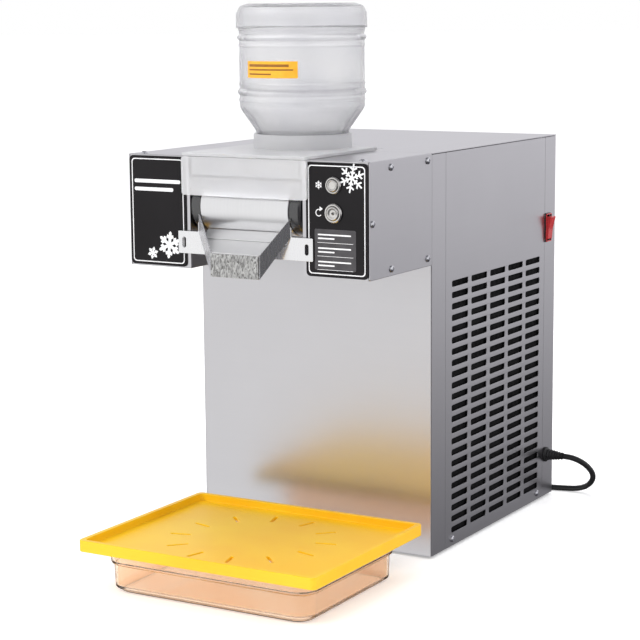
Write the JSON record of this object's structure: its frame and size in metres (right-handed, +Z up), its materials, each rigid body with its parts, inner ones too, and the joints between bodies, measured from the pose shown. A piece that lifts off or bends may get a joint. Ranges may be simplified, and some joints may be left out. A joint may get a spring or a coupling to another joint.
{
  "type": "shaved ice machine",
  "caption": "Upright steel snow ice machine with a bottle over a clear tank, a chilled drum with scraper chute, push buttons, vented sides and a slotted drip tray.",
  "frame": {"origin": "middle of the footprint of the machine with its drip tray, on the counter surface", "axes": "+X to the machine's right seen from its front, +Y to its back, +Z up"},
  "size_m": [0.309, 0.6292, 0.531],
  "materials": {
    "sheet": "satin brushed",
    "bright_sheet": "bright",
    "polished": "polished",
    "dark_metal": "satin",
    "fin_metal": "mill",
    "brass": "turned",
    "copper": "drawn",
    "gloss_black": "gloss",
    "white_plastic": "matte",
    "nylon": "matte",
    "clear_plastic": "clear gloss",
    "tinted_plastic": "clear gloss",
    "yellow_plastic": "satin",
    "red_plastic": "gloss",
    "rubber": "matte"
  },
  "bodies": {
    "cabinet": {"base_plate": "sheet", "button_cooling_bezel": "polished", "button_rotation_bezel": "polished", "compressor": "dark_metal", "condenser": "fin_metal", "control_box": "white_plastic", "control_panel_left": "gloss_black", "control_panel_right": "gloss_black", "cord_coil": "rubber", "cord_gland": "rubber", "cord_tail": "rubber", "fan_motor": "dark_metal", "fan_shroud": "dark_metal", "filter_drier": "copper", "foot_front_left": "rubber", "foot_front_right": "rubber", "foot_rear_left": "rubber", "foot_rear_right": "rubber", "front_panel": "sheet", "gear_motor": "dark_metal", "head_box_left": "sheet", "head_box_right": "sheet", "head_cover_left": "sheet", "head_cover_right": "sheet", "mains_plug": "rubber", "power_cord": "rubber", "rear_panel": "sheet", "refrigerant_pipe": "copper", "rotary_joint": "brass", "shaft_bearing_left": "polished", "shaft_bearing_right": "polished", "side_panel_left": "sheet", "side_panel_right": "sheet", "switch_bezel": "gloss_black", "top_cover": "sheet"},
    "drum": {"freezing_drum": "polished", "drum_end_cap_left": "gloss_black", "drum_end_cap_right": "gloss_black", "drum_shaft": "polished", "drum_gear": "nylon"},
    "pinion": {"motor_pinion": "nylon", "motor_shaft": "polished"},
    "fan": {"cooling_fan": "nylon"},
    "tank": {"liquid_tank": "clear_plastic"},
    "lid": {"tank_lid": "clear_plastic"},
    "bottle": {"water_bottle": "clear_plastic", "bottle_cap": "white_plastic"},
    "valve": {"valve_pin": "white_plastic"},
    "chute": {"chute_frame": "bright_sheet", "chute_floor": "bright_sheet", "discharge_lip": "bright_sheet", "scraper_blade": "polished", "blade_holder": "dark_metal"},
    "cooling_button": {"button_cooling_cap": "polished"},
    "rotation_button": {"button_rotation_cap": "polished"},
    "rocker": {"power_rocker": "red_plastic"},
    "bin": {"drip_bin": "tinted_plastic"},
    "tray": {"tray_lid": "yellow_plastic"}
  },
  "joints": [
    {"name": "drum_spin", "type": "hinge", "parent": "cabinet", "child": "drum", "pos_m": [-0.0085, -0.119, 0.345], "axis": [1, 0, 0], "continuous": true},
    {"name": "pinion_spin", "type": "hinge", "parent": "cabinet", "child": "pinion", "pos_m": [-0.0085, -0.091, 0.345], "axis": [1, 0, 0], "continuous": true},
    {"name": "fan_spin", "type": "hinge", "parent": "cabinet", "child": "fan", "pos_m": [0.0755, 0.1255, 0.092], "axis": [1, 0, 0], "continuous": true},
    {"name": "tank_lift", "type": "slide", "parent": "cabinet", "child": "tank", "axis": [0, 0, 1], "range_m": [0, 0.06]},
    {"name": "lid_lift", "type": "slide", "parent": "tank", "child": "lid", "axis": [0, 0, 1], "range_m": [0, 0.04]},
    {"name": "bottle_lift", "type": "slide", "parent": "lid", "child": "bottle", "axis": [0, 0, 1], "range_m": [0, 0.06]},
    {"name": "valve_open", "type": "slide", "parent": "bottle", "child": "valve", "axis": [0, 0, 1], "range_m": [0, 0.003], "stiffness_N_per_m": 120},
    {"name": "chute_pull", "type": "slide", "parent": "cabinet", "child": "chute", "axis": [0, -1, 0], "range_m": [0, 0.06]},
    {"name": "cooling_press", "type": "slide", "parent": "cabinet", "child": "cooling_button", "axis": [0, 1, 0], "range_m": [0, 0.0015], "stiffness_N_per_m": 400},
    {"name": "rotation_press", "type": "slide", "parent": "cabinet", "child": "rotation_button", "axis": [0, 1, 0], "range_m": [0, 0.0015], "stiffness_N_per_m": 400},
    {"name": "power_rock", "type": "hinge", "parent": "cabinet", "child": "rocker", "pos_m": [0.1185, 0.2495, 0.295], "axis": [0, 1, 0], "range_deg": [-16, 0]},
    {"name": "bin_pull", "type": "slide", "parent": "cabinet", "child": "bin", "axis": [0, -1, 0], "range_m": [0, 0.12]},
    {"name": "tray_lift", "type": "slide", "parent": "bin", "child": "tray", "axis": [0, 0, 1], "range_m": [0, 0.06]}
  ],
  "couplings": [
    {"joint": "pinion_spin", "follows": "drum_spin", "ratio": -1.5}
  ]
}
